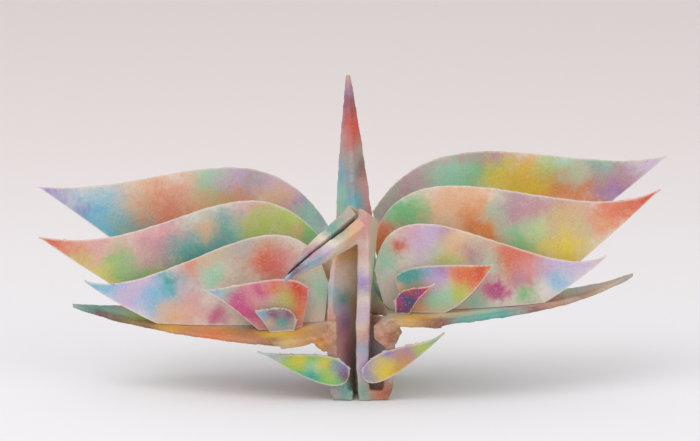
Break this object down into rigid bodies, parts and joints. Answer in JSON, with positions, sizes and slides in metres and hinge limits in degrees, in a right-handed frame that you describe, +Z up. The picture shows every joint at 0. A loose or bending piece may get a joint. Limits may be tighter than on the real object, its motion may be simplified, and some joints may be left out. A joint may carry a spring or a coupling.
{
  "type": "origami crane",
  "caption": "Folded paper crane with spread wings, an upright tail and a turned-down head, with leaf-shaped paper feathers standing on its wings.",
  "frame": {"origin": "middle of the whole crane's box, on the table it stands on", "axes": "+X along the wings to the right as seen from the front, -Y the way the crane faces, +Z up"},
  "size_m": [0.079, 0.0264, 0.0386],
  "materials": {
    "crane_paper": "matt handmade paper with soft watercolour blots",
    "feather_paper": "matt handmade paper with soft watercolour blots and pale cut edges",
    "leaf_paper": "matt handmade paper with yellow-green blots and pale cut edges"
  },
  "bodies": {
    "root": {"folded_crane": "crane_paper", "left_rear_feather": "feather_paper", "left_second_feather": "feather_paper", "left_third_feather": "feather_paper", "left_small_feather": "feather_paper", "left_tiny_feather": "feather_paper", "right_rear_feather": "feather_paper", "right_second_feather": "feather_paper", "right_third_feather": "feather_paper", "right_small_feather": "feather_paper", "right_tiny_feather": "feather_paper", "left_breast_leaf": "leaf_paper", "right_breast_leaf": "leaf_paper"}
  },
  "joints": []
}
